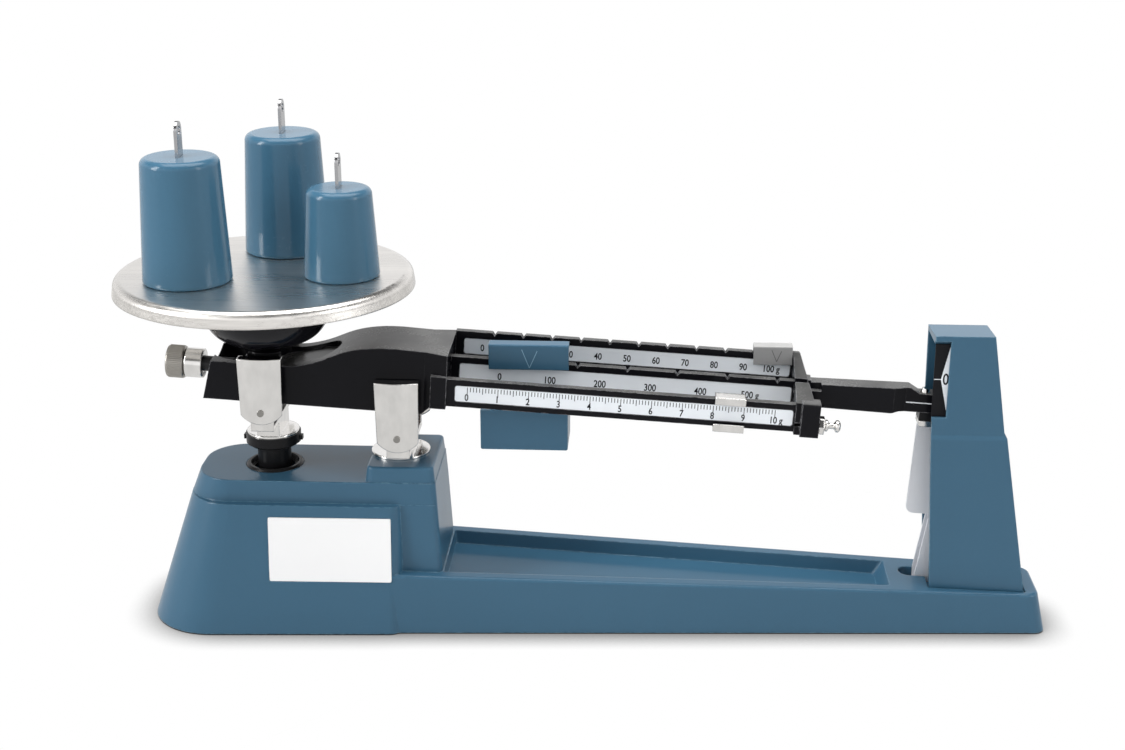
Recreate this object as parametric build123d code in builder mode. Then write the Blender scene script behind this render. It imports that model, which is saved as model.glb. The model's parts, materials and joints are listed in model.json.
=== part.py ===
from build123d import *
import os
from math import cos, sin, tan, radians

# Triple beam balance with attachment weights, drawn at rest: beam down on its lower stop.
# Millimetres, +X along the base towards the pointer tower, +Y away from the user, +Z up.

# Base casting
base_left = -236.0
base_right = 232.0
base_top_right = 224.5
base_bottom = 0.7
half_at_pedestal = 34.0
half_slope = 0.0511
half_from_x = -76.0
rim_height = 31.8
rim_slope = 1.868
rim_width = 8.0
channel_depth = 7.0
channel_left = -79.0
channel_right = 149.0
wall = 4.5
bulge_extra = 1.7
bulge_right = -101.0
ledge_z = 69.0
deck_z = 80.5
deck_half = 26.0
deck_floor = 73.0
block_z = 88.5
block_left = -119.0
block_right = -84.5
block_half = 24.5

# Pivots
tilt = 3.4
pivot_x = -102.0
pivot_z = 124.0
pan_arm = 69.0
pan_knife_rise = 2.0
link_base_z = 38.0

c = cos(radians(tilt))
s = sin(radians(tilt))
pan_x = pivot_x - pan_arm * c + pan_knife_rise * s
pan_knife_z = pivot_z + pan_arm * s + pan_knife_rise * c
link_pan_z = link_base_z + pan_knife_z - pivot_z

# Beam, in its own tilted frame with the pivot edge as origin
beam_left = -99.4
beam_low = -7.5
beam_low_top = 12.8
beam_top_z = 25.8
beam_right = 24.5
beam_half_left = 19.0
beam_half_right = 22.0
rail_right = 199.5
rail_thick = 4.0
plate_thick = 0.6
plate_pocket = 0.7
plate_left = 29.0
plate_right = 198.4
plate_tall = 8.2
rear_face, rear_low, rear_top = 18.0, 11.7, 26.3
centre_face, centre_low, centre_top = -2.0, 4.4, 18.9
front_face, front_low, front_top = -22.0, -1.0, 13.4
rear_plate_low = 14.3
centre_plate_low = 7.2
front_plate_low = 2.0
rear_notch = 44.6
rear_step = 15.0
centre_notch = 63.7
centre_step = 25.45
notch_deep = 1.7

# Bearing stirrups and covers
stirrup_half = 23.4
stirrup_sheet = 1.4
neck_wide = 11.6
cheek_wide = 17.0
cover_sheet = 1.2
cover_wide = 22.4
cover_tall = 36.6

# Pan, weights and support
pan_top = 185.0
pan_radius = 76.0
pan_skirt = 8.0
pan_sheet = 1.2

# Moves everything along X so that the whole outline is centred on the origin
centre_shift = -(pan_x - pan_radius + base_right) / 2

# Tower
tower_foot_z = 20.6
tower_half_foot = 14.5
tower_half_top = 13.6
vane_y = 4.0

os.makedirs("parts", exist_ok=True)


def front(y):
    """Upright plane facing the user; sketch x is X, sketch y is Z."""
    return Plane(origin=(0, y, 0), x_dir=(1, 0, 0), z_dir=(0, -1, 0))


def end(x):
    """Upright plane facing +X; sketch x is Y, sketch y is Z."""
    return Plane(origin=(x, 0, 0), x_dir=(0, 1, 0), z_dir=(1, 0, 0))


def beam_side(y):
    """As front(), in the beam's tilted frame."""
    return Plane(origin=(pivot_x, y, pivot_z), x_dir=(c, 0, -s), z_dir=(0, -1, 0))


def beam_plan(up):
    """Plan view of the beam at a height above its pivot edge."""
    return Plane(origin=(pivot_x + up * s, 0, pivot_z + up * c), x_dir=(c, 0, -s), z_dir=(s, 0, c))


def beam_end(along):
    """Section across the beam at a distance along it."""
    return Plane(origin=(pivot_x + along * c, 0, pivot_z - along * s), x_dir=(0, 1, 0), z_dir=(c, 0, -s))


def half_width(x):
    """Half the base's width at its bottom edge."""
    return half_at_pedestal - (x - half_from_x) * half_slope


def rounded_plan(left, right, half_left, half_right, r_left, r_right):
    """Tapering outline, symmetric about X, with rounded corners."""
    Polygon((left, -half_left), (right, -half_right), (right, half_right), (left, half_left), align=None)
    fillet(vertices().sort_by(Axis.X)[:2], r_left)
    fillet(vertices().sort_by(Axis.X)[-2:], r_right)


def save(part, name):
    """Centre a finished piece on the frame's origin, label it and write it."""
    placed = Pos(centre_shift, 0, 0) * part.part
    placed.label = name
    export_step(placed, "parts/" + name + ".step")


rim_plane = Plane(
    origin=(half_from_x, 0, rim_height),
    x_dir=(cos(radians(-rim_slope)), 0, sin(radians(-rim_slope))),
    z_dir=(-sin(radians(-rim_slope)), 0, cos(radians(-rim_slope))),
)

# BASE

card_plane = Plane(origin=(-137.5, -33.7, 46.0), x_dir=(1, 0.0205, 0), z_dir=(0.0205, -1, 0.119))
card_long, card_tall, card_thick = 63.0, 34.0, 0.8
feet = [(-209, -25), (-209, 25), (217, -8), (217, 8)]
tower_screw_spots = [(204, -8.5), (204, 8.5)]

with BuildPart() as base_casting:
    with BuildSketch(Plane.XY.offset(base_bottom)):
        rounded_plan(-112, base_right, half_width(-112), half_width(base_right), 3, 6)
    with BuildSketch(Plane.XY.offset(base_bottom + 34)):
        rounded_plan(-111, base_top_right, half_width(-112) - 1.2, half_width(base_right) - 1.2, 3, 7)
    loft()
    split(bisect_by=rim_plane, keep=Keep.BOTTOM)
    rim_edges = edges().filter_by(lambda e: e.center().Z > 20 and abs(e.center().Y) > 5)
    fillet(rim_edges.filter_by(lambda e: e.length > 100), 1.6)
    # channel between the rims
    chan_l = channel_left - half_from_x
    chan_r = channel_right - half_from_x
    half_l = half_width(channel_left) - 1.1 - rim_width
    half_r = half_width(channel_right) - 1.1 - rim_width
    with BuildSketch(rim_plane.offset(-channel_depth)):
        rounded_plan(chan_l, chan_r - 2.5, half_l, half_r, 1, 2)
    with BuildSketch(rim_plane.offset(0.5)):
        rounded_plan(chan_l - 1, chan_r + 2.5, half_l + 1.5, half_r + 1.5, 1, 2)
    loft(mode=Mode.SUBTRACT)
    # round-ended pedestal body that bulges in front and behind
    with BuildSketch(Plane.XY.offset(base_bottom)):
        rounded_plan(base_left, bulge_right, half_width(base_left) + bulge_extra,
                     half_width(bulge_right) + bulge_extra, 34, 7)
    with BuildSketch(Plane.XY.offset(ledge_z)):
        rounded_plan(-212.8, bulge_right, 31.0, 30.4, 24, 6)
    loft()
    # core of the pedestal up to the deck, behind the bulge's ledge
    with BuildSketch(Plane.XY.offset(10)):
        rounded_plan(-150, -79.2, 28.5, 28.5, 2, 3)
    with BuildSketch(Plane.XY.offset(ledge_z)):
        rounded_plan(-150, -82.6, 27.0, 27.0, 2, 3)
    loft()
    with BuildSketch(Plane.XY.offset(ledge_z - 0.01)):
        rounded_plan(-212.8, -82.6, 26.8, 26.8, 21, 3)
    with BuildSketch(Plane.XY.offset(deck_z)):
        rounded_plan(-208.2, -83.4, deck_half, deck_half, 20, 3)
    loft()
    with BuildSketch(Plane.XY.offset(deck_z - 6)):
        rounded_plan(block_left - 1.5, -83.0, deck_half, deck_half, 4, 3)
    with BuildSketch(Plane.XY.offset(block_z)):
        rounded_plan(block_left + 0.5, block_right, block_half, block_half, 4, 3)
    loft()
    fillet(edges().group_by(Axis.Z)[-1], 1.2)
    # well for the stem guide and seat of the fulcrum stirrup
    with BuildSketch(Plane.XY.offset(77.0)):
        with Locations((pan_x, 0)):
            Circle(15.0)
    extrude(amount=6, mode=Mode.SUBTRACT)
    with BuildSketch(Plane.XY.offset(60)):
        with Locations((pan_x, 0)):
            Circle(12.0)
    extrude(amount=20, mode=Mode.SUBTRACT)
    with BuildSketch(Plane.XY.offset(87.5)):
        with Locations((pivot_x - 2.0, 0)):
            Circle(15.3)
    extrude(amount=4, mode=Mode.SUBTRACT)
    # seat of the blank card
    with BuildSketch(card_plane.offset(-card_thick)):
        Rectangle(card_long + 0.2, card_tall + 0.2)
    extrude(amount=6, mode=Mode.SUBTRACT)
    # hollow underside
    with BuildSketch(Plane.XY):
        rounded_plan(base_left + 5, bulge_right + 3, half_width(base_left) - wall,
                     half_width(bulge_right) - wall, 28, 4)
    with BuildSketch(Plane.XY.offset(deck_floor)):
        rounded_plan(-206, -104, 23.5, 23.5, 16, 4)
    loft(mode=Mode.SUBTRACT)
    with BuildSketch(Plane.XY):
        rounded_plan(-118, -84.2, 24.0, 24.0, 2, 3)
    with BuildSketch(Plane.XY.offset(deck_floor)):
        rounded_plan(-118, -87.6, 22.5, 22.5, 2, 3)
    loft(mode=Mode.SUBTRACT)
    with BuildSketch(Plane.XY):
        rounded_plan(-108, 152, half_width(-108) - wall, half_width(152) - wall, 4, 4)
    extrude(amount=12.5, mode=Mode.SUBTRACT)
    with BuildSketch(Plane.XY):
        rounded_plan(148, 223, half_width(148) - wall, half_width(223) - wall, 4, 6)
    extrude(amount=17.0, mode=Mode.SUBTRACT)
    # ears that carry the check link's pin, and pads over the feet
    for near in (9.0, -5.5):
        with BuildSketch(front(near)):
            with Locations((pivot_x, (deck_floor + 2 + link_base_z) / 2)):
                Rectangle(16, deck_floor + 2 - link_base_z)
            with Locations((pivot_x, link_base_z)):
                Circle(8)
        extrude(amount=3.5)
    with BuildSketch(front(20)):
        with Locations((pivot_x, link_base_z)):
            Circle(1.55)
    extrude(amount=40, mode=Mode.SUBTRACT)
    with BuildSketch(Plane.XY.offset(3.0)):
        with Locations(feet[:2]):
            Circle(8.5)
    extrude(amount=24)
    with BuildSketch(Plane.XY.offset(3.0)):
        with Locations(feet[2:]):
            Circle(7.5)
    extrude(amount=15)
    with BuildSketch(Plane.XY):
        with Locations(feet):
            Circle(6.05)
    extrude(amount=4.5, mode=Mode.SUBTRACT)
    # slot and recess under the tower
    with BuildSketch(Plane.XY.offset(10)):
        with Locations((178, vane_y)):
            SlotOverall(41, 11)
    extrude(amount=20, mode=Mode.SUBTRACT)
    with BuildSketch(Plane.XY.offset(tower_foot_z)):
        rounded_plan(170.7, 220.8, tower_half_foot + 0.5, tower_half_foot + 0.5, 0.4, 0.4)
    extrude(amount=10, mode=Mode.SUBTRACT)
    with BuildSketch(Plane.XY):
        with Locations(tower_screw_spots):
            Circle(1.7)
    extrude(amount=30, mode=Mode.SUBTRACT)
save(base_casting, "base_casting")

with BuildPart() as rubber_feet:
    with BuildSketch(Plane.XY):
        with Locations(feet):
            Circle(6.0)
    extrude(amount=4.5)
save(rubber_feet, "rubber_feet")

with BuildPart() as label_card:
    with BuildSketch(card_plane.offset(-card_thick)):
        RectangleRounded(card_long, card_tall, 0.8)
    extrude(amount=card_thick)
save(label_card, "label_card")

with BuildPart() as stem_guide:
    with BuildSketch(front(0)):
        with BuildLine():
            Polyline((pan_x + 10.6, 77.0), (pan_x + 14.9, 77.0), (pan_x + 14.9, 80.6), (pan_x + 14.0, 81.6),
                     (pan_x + 12.6, 81.6), (pan_x + 11.8, 79.2), (pan_x + 10.6, 79.0), close=True)
        make_face()
    revolve(axis=Axis((pan_x, 0, 0), (0, 0, 1)))
save(stem_guide, "stem_guide")

# FULCRUM


def bar(plane, x, y, wide, tall, deep, mode=Mode.ADD):
    """Rectangular bar grown from a plane."""
    with BuildSketch(plane) as outline:
        with Locations((x, y)):
            Rectangle(wide, tall)
    extrude(outline.sketch, amount=deep, mode=mode)


def disc(plane, x, y, radius, deep, mode=Mode.ADD):
    """Round bar grown from a plane."""
    with BuildSketch(plane) as outline:
        with Locations((x, y)):
            Circle(radius)
    extrude(outline.sketch, amount=deep, mode=mode)


def shape(plane, points, deep, mode=Mode.ADD):
    """Prism of a straight-sided outline grown from a plane."""
    with BuildSketch(plane) as outline:
        Polygon(*points, align=None)
    extrude(outline.sketch, amount=deep, mode=mode)


def stirrup(x, low, wide_from, high, disc_z, disc_r, disc_x):
    """Round flange, short strip, bridge and two cheeks that widen where they carry the bearings."""
    disc(Plane.XY.offset(disc_z), disc_x, 0, disc_r, 2.4)
    bar(Plane.XY.offset(disc_z + 2.4), x, 0, neck_wide, 2 * disc_r - 2.6, low - disc_z - 2.4)
    bar(Plane.XY.offset(low), x, 0, neck_wide, 2 * (stirrup_half + stirrup_sheet), 2.4)
    for side in (-1, 1):
        cheek = side * (stirrup_half + stirrup_sheet / 2)
        bar(end(x - neck_wide / 2), cheek, (low + high) / 2, stirrup_sheet, high - low, neck_wide)
        cheek_mid = (wide_from + high) / 2
        bar(end(x - cheek_wide / 2), cheek, cheek_mid, stirrup_sheet, high - wide_from, cheek_wide)


def screw_holes(x, z):
    """Clearance for the two cover screws."""
    disc(front(40), x, z, 1.05, 80, Mode.SUBTRACT)


fulcrum_cover_low = 97.6
pan_cover_low = 111.4
pan_cover_tall = 34.4
fulcrum_screw_z = 105.0
pan_screw_z = 117.6
cover_y = stirrup_half + stirrup_sheet
# the covers bulge: they bear on the cheeks' outer corners and stand off in the middle
cover_radius = 32.4
cover_axis = cover_y - ((cover_radius - cover_sheet) ** 2 - (cheek_wide / 2) ** 2) ** 0.5
cover_out = cover_axis + cover_radius

with BuildPart() as fulcrum_stirrup:
    stirrup(pivot_x, 93.6, fulcrum_cover_low + 4.6, 131.5, 87.5, 15.2, pivot_x - 2.0)
    screw_holes(pivot_x, fulcrum_screw_z)
save(fulcrum_stirrup, "fulcrum_stirrup")

with BuildPart() as fulcrum_bearings:
    block_deep = stirrup_half - beam_half_left - 0.5
    for near in (stirrup_half, -beam_half_left - 0.5):
        vee = [(pivot_x - 6, 115), (pivot_x + 6, 115), (pivot_x + 6, 127.5), (pivot_x, pivot_z - 0.2),
               (pivot_x - 6, 127.5)]
        shape(front(near), vee, block_deep)
save(fulcrum_bearings, "fulcrum_bearings")


def cover(x, low, tall, side):
    """Nickelled cover over one bearing: a bulged, round-bottomed face with a top flange turned inwards."""
    near = -cover_y + 1.4 if side < 0 else cover_out + 1
    half = cover_wide / 2
    foot = half - 0.7
    top = low + tall
    with BuildSketch(front(near)) as face_outline:
        with BuildLine():
            Polyline((x - foot, low + 4.6), (x - half, top), (x + half, top), (x + foot, low + 4.6))
            ThreePointArc((x + foot, low + 4.6), (x, low), (x - foot, low + 4.6))
        make_face()
    extrude(face_outline.sketch, amount=cover_out + 1 - cover_y + 1.4)
    disc(Plane.XY.offset(low), x, side * cover_axis, cover_radius, tall, Mode.INTERSECT)
    disc(Plane.XY.offset(low), x, side * cover_axis, cover_radius - cover_sheet, tall, Mode.SUBTRACT)
    # flange over the top, inside the bulge
    deep = cover_out - beam_half_left - 0.9
    with BuildSketch(Plane.XY.offset(top - cover_sheet)) as flange:
        with Locations((x, side * (cover_out - deep / 2))):
            Rectangle(cover_wide - 0.2, deep)
        with Locations((x, side * cover_axis)):
            Circle(cover_radius - 0.1, mode=Mode.INTERSECT)
    extrude(flange.sketch, amount=cover_sheet)


def cover_screw(x, z):
    """Two small round-headed screws, one in each cover."""
    for side in (-1, 1):
        turn = Plane(origin=(x, side * cover_out, z), z_dir=(0, side, 0))
        disc(turn, 0, 0, 1.0, -5.0)
        disc(turn, 0, 0, 1.7, 0.8)


with BuildPart() as fulcrum_cover_front:
    cover(pivot_x, fulcrum_cover_low, cover_tall, -1)
    screw_holes(pivot_x, fulcrum_screw_z)
save(fulcrum_cover_front, "fulcrum_cover_front")

with BuildPart() as fulcrum_cover_rear:
    cover(pivot_x, fulcrum_cover_low, cover_tall, 1)
    screw_holes(pivot_x, fulcrum_screw_z)
save(fulcrum_cover_rear, "fulcrum_cover_rear")

with BuildPart() as fulcrum_cover_screws:
    cover_screw(pivot_x, fulcrum_screw_z)
save(fulcrum_cover_screws, "fulcrum_cover_screws")

# BEAM

with BuildPart() as beam_housing:
    with BuildSketch(beam_side(beam_half_right)):
        with BuildLine():
            Polyline((-95.6, beam_low_top), (beam_left, beam_low), (12, beam_low), (18, front_low - 0.6),
                     (beam_right, front_low - 0.6), (beam_right, beam_top_z - 0.4), (-2, beam_top_z + 0.3))
            Spline((-2, beam_top_z + 0.3), (-15, 25.4), (-30, 21.6), (-42, 16.2), (-50, 13.8),
                   (-60, beam_low_top), tangents=((-1, 0), (-1, 0)))
            Line((-60, beam_low_top), (-95.6, beam_low_top))
        make_face()
    extrude(amount=2 * beam_half_right)
    with BuildSketch(beam_plan(-20)):
        Polygon((beam_left - 1, -beam_half_left), (13, -beam_half_left), (beam_right, -beam_half_right),
                (beam_right, beam_half_right), (13, beam_half_left), (beam_left - 1, beam_half_left),
                align=None)
    extrude(amount=60, mode=Mode.INTERSECT)
    # tongue-shaped scoop that gives the pan's hub room to swing
    scoop_angle = 14.5
    scoop = Plane(
        origin=(pivot_x - pan_arm * c + 7.2 * s, 0, pivot_z + pan_arm * s + 7.2 * c),
        x_dir=(cos(radians(scoop_angle - tilt)), 0, sin(radians(scoop_angle - tilt))),
        z_dir=(-sin(radians(scoop_angle - tilt)), 0, cos(radians(scoop_angle - tilt))),
    )
    with BuildSketch(scoop):
        with Locations((7, 0)):
            RectangleRounded(62, 25, 12)
    extrude(amount=30, taper=-14, mode=Mode.SUBTRACT)
    # open underside behind the fulcrum
    with BuildSketch(beam_side(beam_half_left - 3.5)):
        with BuildLine():
            Polyline((-50, -12), (20, -12), (20, 22), (-14, 22), (-27, 17.5), (-50, 3), close=True)
        make_face()
    extrude(amount=2 * beam_half_left - 7, mode=Mode.SUBTRACT)
    # bosses that take the rails
    with BuildSketch(beam_end(beam_right - 8)):
        with Locations((-beam_half_right + 2.6, (front_low + front_top) / 2 - 0.3)):
            Rectangle(7.0, front_top - front_low + 2.6)
    extrude(amount=8)
    with BuildSketch(beam_end(beam_right - 6)):
        with Locations((centre_face + rail_thick / 2, (centre_low + centre_top) / 2)):
            Rectangle(6.5, centre_top - centre_low + 1.2)
    extrude(amount=6)
    # seats of the two knives and of the zero stud
    for along, up, point in ((0.0, 0.0, -1), (-pan_arm, pan_knife_rise, 1)):
        with BuildSketch(beam_side(40)):
            with BuildLine():
                Polyline((along - 2.4, up - point * 6.05), (along - 2.4, up - point * 3.2), (along, up),
                         (along + 2.4, up - point * 3.2), (along + 2.4, up - point * 6.05), close=True)
            make_face()
        extrude(amount=80, mode=Mode.SUBTRACT)
    with BuildSketch(beam_end(beam_left - 2)):
        with Locations((0, 4.6)):
            Circle(4.05)
    extrude(amount=16, mode=Mode.SUBTRACT)
save(beam_housing, "beam_housing")


def knife(along, up, point):
    """Prism with one sharp edge, square to the beam; point is -1 with the edge down, 1 with it up."""
    half = stirrup_half - 0.3
    outline = [(along - 2.35, up - point * 6.0), (along - 2.35, up - point * 3.25),
               (along, up - point * 0.05), (along + 2.35, up - point * 3.25),
               (along + 2.35, up - point * 6.0)]
    shape(beam_side(half), outline, 2 * half)


with BuildPart() as fulcrum_knife:
    knife(0.0, 0.0, -1)
save(fulcrum_knife, "fulcrum_knife")

with BuildPart() as pan_knife:
    knife(-pan_arm, pan_knife_rise, 1)
save(pan_knife, "pan_knife")


def rail(face, low, top, plate_low):
    """Upright rail with a shallow pocket for its scale plate."""
    middle = ((beam_right + rail_right) / 2, (low + top) / 2)
    bar(beam_side(face + rail_thick), *middle, rail_right - beam_right, top - low, rail_thick)
    with BuildSketch(beam_side(face + plate_pocket)) as pocket:
        with Locations(((plate_left + plate_right) / 2, plate_low + plate_tall / 2)):
            RectangleRounded(plate_right - plate_left + 0.2, plate_tall + 0.2, 1.3)
    extrude(pocket.sketch, amount=plate_pocket, mode=Mode.SUBTRACT)


def notches(first, step, count, face, top):
    """Row of vee notches across a rail's top edge."""
    for i in range(count):
        x = first + i * step
        vee = [(x - 1.25, top + 0.1), (x, top - notch_deep), (x + 1.25, top + 0.1)]
        shape(beam_side(face + rail_thick + 1), vee, rail_thick + 2, Mode.SUBTRACT)


def scale_plate(face, plate_low):
    """Thin round-cornered plate seated in its rail's pocket."""
    with BuildSketch(beam_side(face + plate_pocket)) as outline:
        with Locations(((plate_left + plate_right) / 2, plate_low + plate_tall / 2)):
            RectangleRounded(plate_right - plate_left, plate_tall, 1.2)
    extrude(outline.sketch, amount=plate_thick)


with BuildPart() as rear_rail:
    rail(rear_face, rear_low, rear_top, rear_plate_low)
    notches(rear_notch, rear_step, 11, rear_face, rear_top)
save(rear_rail, "rear_rail")

with BuildPart() as centre_rail:
    rail(centre_face, centre_low, centre_top, centre_plate_low)
    notches(centre_notch, centre_step, 6, centre_face, centre_top)
save(centre_rail, "centre_rail")

with BuildPart() as front_rail:
    rail(front_face, front_low, front_top, front_plate_low)
save(front_rail, "front_rail")

with BuildPart() as rear_scale_plate:
    scale_plate(rear_face, rear_plate_low)
save(rear_scale_plate, "rear_scale_plate")

with BuildPart() as centre_scale_plate:
    scale_plate(centre_face, centre_plate_low)
save(centre_scale_plate, "centre_scale_plate")

with BuildPart() as front_scale_plate:
    scale_plate(front_face, front_plate_low)
save(front_scale_plate, "front_scale_plate")

stud_y = -20.5
flap_front, flap_back = -2.6, -4.4
stud_up = 3.0

with BuildPart() as end_plate:
    with BuildSketch(beam_end(rail_right)):
        Polygon((22.4, 27.2), (19.5, 27.2), (-18, 15.6), (-22.4, 14.4), (-22.4, -2.4), (-16, -2.4), (2, 3.2),
                (16, 9.6), (22.4, 10.6), align=None)
    extrude(amount=14)
    with BuildSketch(beam_plan(-20)):
        Polygon((rail_right, 23), (202.6, 23), (209.0, -23), (rail_right, -23), align=None)
    extrude(amount=60, mode=Mode.INTERSECT)
    with BuildSketch(beam_end(202.4)):
        with Locations((stud_y, 6.2)):
            RectangleRounded(9.4, 18.0, 1.2)
    extrude(amount=9.2)
    with BuildSketch(beam_end(190)):
        with Locations((stud_y, stud_up)):
            Circle(2.05)
    extrude(amount=40, mode=Mode.SUBTRACT)
    # slot that lets the centre poise's flap past at its last notch
    with BuildSketch(beam_end(rail_right - 1)):
        with Locations(((flap_front + flap_back) / 2, 19)):
            Rectangle(flap_front - flap_back + 1.4, 10.6)
    extrude(amount=20, mode=Mode.SUBTRACT)
save(end_plate, "end_plate")

with BuildPart() as load_nut:
    with BuildSketch(beam_end(211.6)):
        with Locations((stud_y, stud_up)):
            RegularPolygon(4.7, 6)
            Circle(2.05, mode=Mode.SUBTRACT)
    extrude(amount=2.8)
save(load_nut, "load_nut")

stud_axis = Axis(
    (pivot_x + stud_up * s, stud_y, pivot_z + stud_up * c),
    (c, 0, -s),
)
with BuildPart() as load_stud:
    with BuildSketch(beam_side(stud_y)):
        with BuildLine():
            Polyline((203.5, stud_up), (203.5, stud_up + 2.0), (214.6, stud_up + 2.0),
                     (215.0, stud_up + 3.0), (216.0, stud_up + 3.0), (217.0, stud_up + 1.5),
                     (219.2, stud_up + 1.5), (220.4, stud_up + 3.1), (221.6, stud_up + 3.1),
                     (222.6, stud_up + 2.0), (222.6, stud_up), close=True)
        make_face()
    revolve(axis=stud_axis)
save(load_stud, "load_stud")

arm_low = 7.1
arm_top = 19.0
arm_half = 5.5
tip_low, tip_top = 7.6, 17.4
vane_left = 264.6
# step in the arm's root where the centre poise's flap runs past at its last notch
step_low = 15.6
step_end = 213.0
step_clear = 0.4

with BuildPart() as pointer_arm:
    with BuildSketch(beam_side(arm_half)):
        with BuildLine():
            Polyline((202.9, arm_low), (249, arm_low - 0.5), (253, tip_low), (274, tip_low), (274, tip_top),
                     (263, tip_top), (258, arm_top + 1.3), (202.9, arm_top), close=True)
        make_face()
    extrude(amount=2 * arm_half)
    with BuildSketch(beam_plan(0)):
        with BuildLine():
            Polyline((200, -arm_half), (250, -arm_half), (256, -3.4), (275, -3.4), (275, arm_half),
                     (200, arm_half), close=True)
        make_face()
    extrude(amount=30, mode=Mode.INTERSECT)
    with BuildSketch(beam_end(202.9)):
        with Locations((0, (arm_low + arm_top) / 2)):
            RectangleRounded(15, arm_top - arm_low + 2.4, 1.5)
    extrude(amount=5)
    with BuildSketch(beam_side(flap_front + step_clear)):
        with Locations(((200 + step_end) / 2, step_low + 5)):
            Rectangle(step_end - 200, 10)
    extrude(amount=10, mode=Mode.SUBTRACT)
    # hold the arm clear of the slanted end plate
    with BuildSketch(beam_plan(-20)):
        Polygon((190, 23.1), (202.62, 23.1), (209.02, -23), (190, -23), align=None)
    extrude(amount=60, mode=Mode.SUBTRACT)
    with BuildSketch(beam_plan(0)):
        with Locations((266.0, 0)):
            Circle(1.25)
    extrude(amount=30, mode=Mode.SUBTRACT)
save(pointer_arm, "pointer_arm")

with BuildPart() as tip_screw:
    with BuildSketch(beam_plan(tip_top)):
        with Locations((266.0, 0)):
            Circle(2.6)
    extrude(amount=2.4, taper=16)
    with BuildSketch(beam_plan(tip_top)):
        with Locations((266.0, 0)):
            Circle(1.2)
    extrude(amount=-12)
save(tip_screw, "tip_screw")

pin_top = 2.9
pin_tall = 3.2

with BuildPart() as vane_clip:
    with BuildSketch(beam_side(vane_y + 2.4)):
        with BuildLine():
            Polyline((264.0, tip_low), (264.0, pin_top), (274, pin_top), (274, tip_low), close=True)
        make_face()
    extrude(amount=9.5)
    with BuildSketch(beam_side(vane_y + 0.62)):
        with BuildLine():
            Polyline((260, 0), (280, 0), (280, 6.0), (260, 6.0), close=True)
        make_face()
    extrude(amount=1.24, mode=Mode.SUBTRACT)
    with BuildSketch(beam_plan(0)):
        with Locations((266.0, 0)):
            Circle(1.25)
    extrude(amount=30, mode=Mode.SUBTRACT)
save(vane_clip, "vane_clip")

with BuildPart() as damper_vane:
    with BuildSketch(beam_side(vane_y + 0.6)):
        with BuildLine():
            Polyline((vane_left, 5.9), (273.6, 5.9), (273.6, -4), (287, -4), (287, -50.5),
                     (vane_left, -50.5), close=True)
        make_face()
        fillet(vertices().group_by(Axis.Y)[0], 4)
        with Locations((269.4, 2.9)):
            Circle(1.05, mode=Mode.SUBTRACT)
    extrude(amount=1.2)
save(damper_vane, "damper_vane")

with BuildPart() as vane_pin:
    for near, deep in ((vane_y + 3.2, 2.55), (vane_y - 0.65, 6.2)):
        with BuildSketch(beam_side(near)):
            with Locations((268.8, pin_top - pin_tall / 2)):
                RectangleRounded(9.4, pin_tall, 0.9)
        extrude(amount=deep)
save(vane_pin, "vane_pin")

with BuildPart() as zero_stud:
    with BuildSketch(beam_end(-117.8)):
        with Locations((0, 4.6)):
            Circle(4.0)
    extrude(amount=30.3)
save(zero_stud, "zero_stud")

with BuildPart() as zero_barrel:
    with BuildSketch(beam_end(-112.4)):
        with Locations((0, 4.6)):
            Circle(7.7)
            Circle(4.08, mode=Mode.SUBTRACT)
    extrude(amount=9.2)
    fillet(edges().filter_by(GeomType.CIRCLE).group_by(SortBy.RADIUS)[-1], 0.5)
save(zero_barrel, "zero_barrel")

with BuildPart() as zero_knob:
    with BuildSketch(beam_end(-122.0)):
        with Locations((0, 4.6)):
            Circle(8.3)
    extrude(amount=9.3)
    fillet(edges().filter_by(GeomType.CIRCLE), 0.9)
    with BuildSketch(beam_end(-119.8)):
        with Locations((0, 4.6)):
            Circle(4.08)
    extrude(amount=9, mode=Mode.SUBTRACT)
save(zero_knob, "zero_knob")

# YOKE AND PAN SUPPORT


def ring_of(profile, x, y=0.0):
    """Solid of revolution about an upright axis; profile points are (radius, height)."""
    with BuildSketch(Plane(origin=(x, y, 0), x_dir=(1, 0, 0), z_dir=(0, -1, 0))) as outline:
        Polygon(*profile, align=None)
    revolve(outline.sketch, axis=Axis((x, y, 0), (0, 0, 1)))


yoke_low = 107.0
yoke_top = 144.4
yoke_disc_z = 97.2
yoke_disc_r = 13.5

with BuildPart() as yoke_stirrup:
    stirrup(pan_x, yoke_low, pan_cover_low + 4.6, yoke_top, yoke_disc_z, yoke_disc_r, pan_x)
    screw_holes(pan_x, pan_screw_z)
    disc(Plane.XY.offset(90), pan_x, 0, 3.42, 16, Mode.SUBTRACT)
save(yoke_stirrup, "yoke_stirrup")

with BuildPart() as pan_bearings:
    for near in (stirrup_half, -beam_half_left - 0.5):
        z = pan_knife_z
        vee = [(pan_x - 6, z + 8), (pan_x - 6, z - 3.5), (pan_x, z + 0.2), (pan_x + 6, z - 3.5),
               (pan_x + 6, z + 8)]
        shape(front(near), vee, stirrup_half - beam_half_left - 0.5)
save(pan_bearings, "pan_bearings")

with BuildPart() as pan_cover_front:
    cover(pan_x, pan_cover_low, pan_cover_tall, -1)
    screw_holes(pan_x, pan_screw_z)
save(pan_cover_front, "pan_cover_front")

with BuildPart() as pan_cover_rear:
    cover(pan_x, pan_cover_low, pan_cover_tall, 1)
    screw_holes(pan_x, pan_screw_z)
save(pan_cover_rear, "pan_cover_rear")

with BuildPart() as pan_cover_screws:
    cover_screw(pan_x, pan_screw_z)
save(pan_cover_screws, "pan_cover_screws")

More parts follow.
